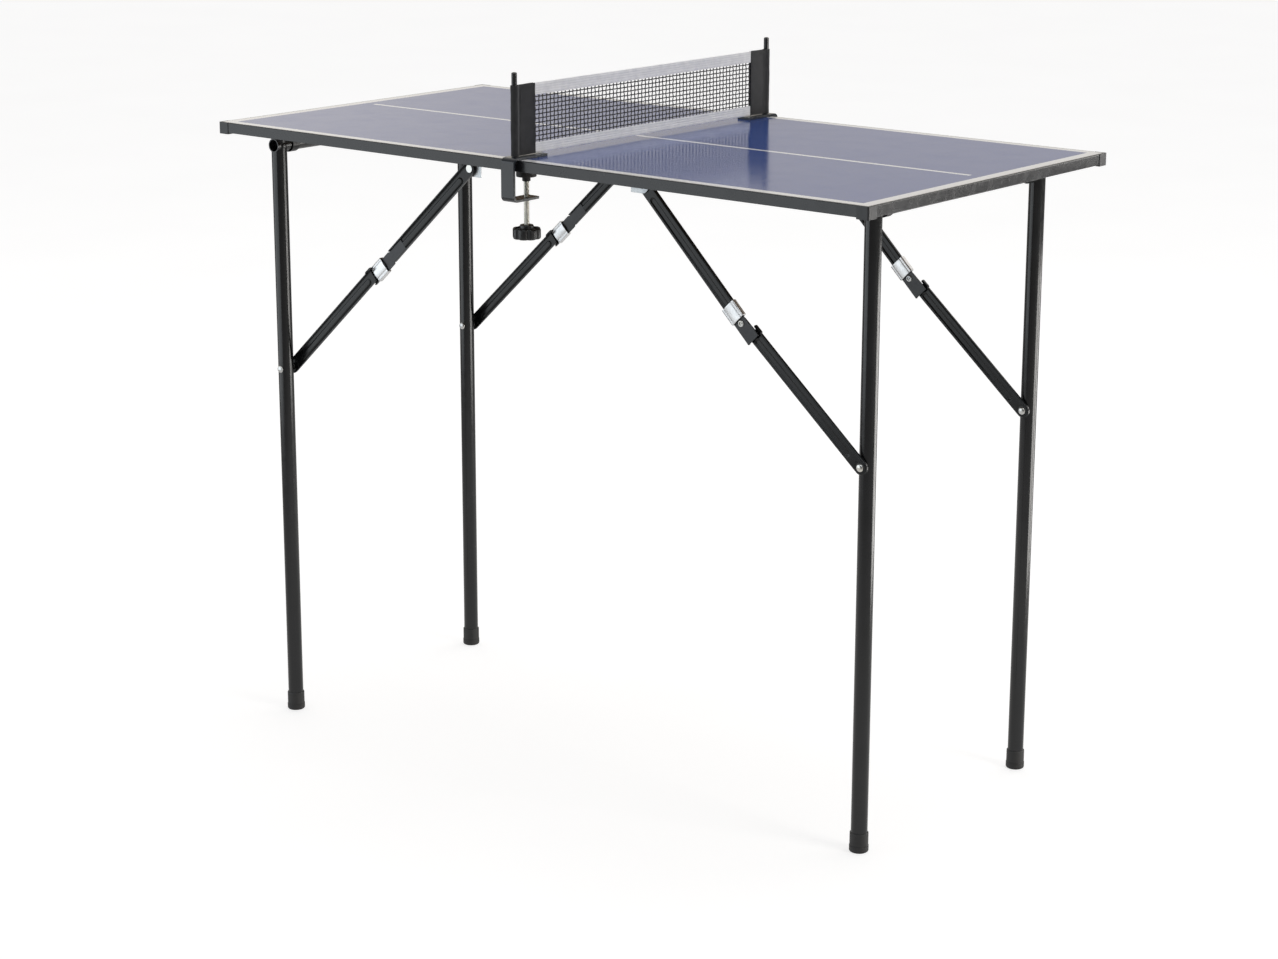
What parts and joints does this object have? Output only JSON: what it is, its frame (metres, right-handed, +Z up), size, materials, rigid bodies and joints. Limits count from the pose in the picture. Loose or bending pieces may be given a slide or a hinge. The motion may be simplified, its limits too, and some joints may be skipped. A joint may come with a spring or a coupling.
{
  "type": "ping pong table",
  "caption": "Small ping pong table: framed blue top with white lines, clamp-on net, and two folding tubular leg frames held by jointed braces with sliding lock sleeves.",
  "frame": {"origin": "on the floor under the middle of the top", "axes": "+X along the long side, +Y across the table along the net, +Z up"},
  "size_m": [0.9152, 0.47, 0.809],
  "materials": {
    "board_laminate": "satin blue laminate with white border and centre lines",
    "rail_black": "satin black edge rails",
    "cap_plastic": "moulded black corners",
    "black_tube": "gloss black powder coat on tube",
    "black_arm": "satin black paint on pressed steel",
    "knuckle_steel": "dark blue-grey paint on folded steel",
    "sleeve_aluminium": "satin extruded aluminium",
    "zinc": "bright zinc-plated steel",
    "tab_zinc": "dull zinc-plated steel",
    "clamp_steel": "gloss dark blue-grey paint",
    "post_black": "gloss black rod",
    "screw_zinc": "bright plated screw",
    "knob_plastic": "gloss black moulding",
    "pad_rubber": "black pad",
    "foot_rubber": "matt black rubber",
    "net_cord": "black woven net cord",
    "net_tape": "white woven tape",
    "net_pocket": "black woven cloth"
  },
  "bodies": {
    "table_top": {"playing_board": "board_laminate", "near_side_rail": "rail_black", "far_side_rail": "rail_black", "left_end_rail": "rail_black", "right_end_rail": "rail_black", "corner_caps": "cap_plastic", "hinge_saddles": "black_arm", "brace_tabs": "tab_zinc", "tab_rivets": "zinc", "underside_screws": "zinc", "near_clamp": "clamp_steel", "far_clamp": "clamp_steel", "near_post": "post_black", "far_post": "post_black"},
    "left_leg_frame": {"front_left_leg": "black_tube", "back_left_leg": "black_tube", "front_left_foot": "foot_rubber", "back_left_foot": "foot_rubber", "left_cross_tube": "black_tube", "left_leg_rivets": "zinc"},
    "front_left_upper_brace": {"front_left_upper_arm": "black_arm", "front_left_knuckle": "knuckle_steel", "front_left_knuckle_rivet": "zinc"},
    "front_left_lower_brace": {"front_left_lower_arm": "black_arm", "front_left_arm_rivet": "zinc"},
    "front_left_sleeve": {"front_left_lock_sleeve": "sleeve_aluminium"},
    "back_left_upper_brace": {"back_left_upper_arm": "black_arm", "back_left_knuckle": "knuckle_steel", "back_left_knuckle_rivet": "zinc"},
    "back_left_lower_brace": {"back_left_lower_arm": "black_arm", "back_left_arm_rivet": "zinc"},
    "back_left_sleeve": {"back_left_lock_sleeve": "sleeve_aluminium"},
    "right_leg_frame": {"front_right_leg": "black_tube", "back_right_leg": "black_tube", "front_right_foot": "foot_rubber", "back_right_foot": "foot_rubber", "right_cross_tube": "black_tube", "right_leg_rivets": "zinc"},
    "front_right_upper_brace": {"front_right_upper_arm": "black_arm", "front_right_knuckle": "knuckle_steel", "front_right_knuckle_rivet": "zinc"},
    "front_right_lower_brace": {"front_right_lower_arm": "black_arm", "front_right_arm_rivet": "zinc"},
    "front_right_sleeve": {"front_right_lock_sleeve": "sleeve_aluminium"},
    "back_right_upper_brace": {"back_right_upper_arm": "black_arm", "back_right_knuckle": "knuckle_steel", "back_right_knuckle_rivet": "zinc"},
    "back_right_lower_brace": {"back_right_lower_arm": "black_arm", "back_right_arm_rivet": "zinc"},
    "back_right_sleeve": {"back_right_lock_sleeve": "sleeve_aluminium"},
    "near_clamp_pad": {"near_pad": "pad_rubber"},
    "near_clamp_knob": {"near_clamp_screw": "screw_zinc", "near_knob": "knob_plastic"},
    "far_clamp_pad": {"far_pad": "pad_rubber"},
    "far_clamp_knob": {"far_clamp_screw": "screw_zinc", "far_knob": "knob_plastic"},
    "net": {"net_mesh": "net_cord", "net_tapes": "net_tape", "near_net_sleeve": "net_pocket", "far_net_sleeve": "net_pocket"}
  },
  "joints": [
    {"name": "left_legs_fold", "type": "hinge", "parent": "table_top", "child": "left_leg_frame", "pos_m": [-0.391, 0, 0.6916], "axis": [0, -1, 0], "range_deg": [0, 76]},
    {"name": "front_left_upper_brace_swing", "type": "hinge", "parent": "table_top", "child": "front_left_upper_brace", "pos_m": [-0.108, -0.177, 0.69], "axis": [0, -1, 0], "range_deg": [0, 116.58]},
    {"name": "front_left_knuckle_bend", "type": "hinge", "parent": "front_left_upper_brace", "child": "front_left_lower_brace", "pos_m": [-0.24474, -0.177, 0.56244], "axis": [0, -1, 0], "range_deg": [-160.76, 0]},
    {"name": "front_left_sleeve_slide", "type": "slide", "parent": "front_left_upper_brace", "child": "front_left_sleeve", "axis": [0.7312, 0, 0.6821], "range_m": [0, 0.1505]},
    {"name": "back_left_upper_brace_swing", "type": "hinge", "parent": "table_top", "child": "back_left_upper_brace", "pos_m": [-0.108, 0.138, 0.69], "axis": [0, -1, 0], "range_deg": [0, 116.58]},
    {"name": "back_left_knuckle_bend", "type": "hinge", "parent": "back_left_upper_brace", "child": "back_left_lower_brace", "pos_m": [-0.24474, 0.138, 0.56244], "axis": [0, -1, 0], "range_deg": [-160.76, 0]},
    {"name": "back_left_sleeve_slide", "type": "slide", "parent": "back_left_upper_brace", "child": "back_left_sleeve", "axis": [0.7312, 0, 0.6821], "range_m": [0, 0.1505]},
    {"name": "right_legs_fold", "type": "hinge", "parent": "table_top", "child": "right_leg_frame", "pos_m": [0.391, 0, 0.6916], "axis": [0, 1, 0], "range_deg": [0, 76]},
    {"name": "front_right_upper_brace_swing", "type": "hinge", "parent": "table_top", "child": "front_right_upper_brace", "pos_m": [0.108, -0.138, 0.69], "axis": [0, 1, 0], "range_deg": [0, 114.44]},
    {"name": "front_right_knuckle_bend", "type": "hinge", "parent": "front_right_upper_brace", "child": "front_right_lower_brace", "pos_m": [0.23997, -0.138, 0.55732], "axis": [0, 1, 0], "range_deg": [-156.63, 0]},
    {"name": "front_right_sleeve_slide", "type": "slide", "parent": "front_right_upper_brace", "child": "front_right_sleeve", "axis": [-0.7052, 0, 0.709], "range_m": [0, 0.132]},
    {"name": "back_right_upper_brace_swing", "type": "hinge", "parent": "table_top", "child": "back_right_upper_brace", "pos_m": [0.108, 0.177, 0.69], "axis": [0, 1, 0], "range_deg": [0, 114.44]},
    {"name": "back_right_knuckle_bend", "type": "hinge", "parent": "back_right_upper_brace", "child": "back_right_lower_brace", "pos_m": [0.23997, 0.177, 0.55732], "axis": [0, 1, 0], "range_deg": [-156.63, 0]},
    {"name": "back_right_sleeve_slide", "type": "slide", "parent": "back_right_upper_brace", "child": "back_right_sleeve", "axis": [-0.7052, 0, 0.709], "range_m": [0, 0.132]},
    {"name": "near_pad_travel", "type": "slide", "parent": "table_top", "child": "near_clamp_pad", "axis": [0, 0, -1], "range_m": [0, 0.01]},
    {"name": "near_knob_turn", "type": "hinge", "parent": "near_clamp_pad", "child": "near_clamp_knob", "pos_m": [0, -0.2045, 0.66], "axis": [0, 0, -1], "range_deg": [0, 3600]},
    {"name": "far_pad_travel", "type": "slide", "parent": "table_top", "child": "far_clamp_pad", "axis": [0, 0, -1], "range_m": [0, 0.01]},
    {"name": "far_knob_turn", "type": "hinge", "parent": "far_clamp_pad", "child": "far_clamp_knob", "pos_m": [0, 0.2045, 0.66], "axis": [0, 0, -1], "range_deg": [0, 3600]},
    {"name": "net_lift", "type": "slide", "parent": "table_top", "child": "net", "axis": [0, 0, 1], "range_m": [0, 0.1]}
  ],
  "couplings": [
    {"joint": "front_left_upper_brace_swing", "follows": "left_legs_fold", "ratio": 1.5274},
    {"joint": "front_left_knuckle_bend", "follows": "left_legs_fold", "ratio": -2.1087},
    {"joint": "front_left_sleeve_slide", "follows": "left_legs_fold", "m_per_rad": 0.11308},
    {"joint": "back_left_upper_brace_swing", "follows": "left_legs_fold", "ratio": 1.5274},
    {"joint": "back_left_knuckle_bend", "follows": "left_legs_fold", "ratio": -2.1087},
    {"joint": "back_left_sleeve_slide", "follows": "left_legs_fold", "m_per_rad": 0.11308},
    {"joint": "front_right_upper_brace_swing", "follows": "right_legs_fold", "ratio": 1.4992},
    {"joint": "front_right_knuckle_bend", "follows": "right_legs_fold", "ratio": -2.0543},
    {"joint": "front_right_sleeve_slide", "follows": "right_legs_fold", "m_per_rad": 0.099137},
    {"joint": "back_right_upper_brace_swing", "follows": "right_legs_fold", "ratio": 1.4992},
    {"joint": "back_right_knuckle_bend", "follows": "right_legs_fold", "ratio": -2.0543},
    {"joint": "back_right_sleeve_slide", "follows": "right_legs_fold", "m_per_rad": 0.099137},
    {"joint": "near_pad_travel", "follows": "near_knob_turn", "m_per_rad": 0.00015915},
    {"joint": "far_pad_travel", "follows": "far_knob_turn", "m_per_rad": 0.00015915}
  ]
}
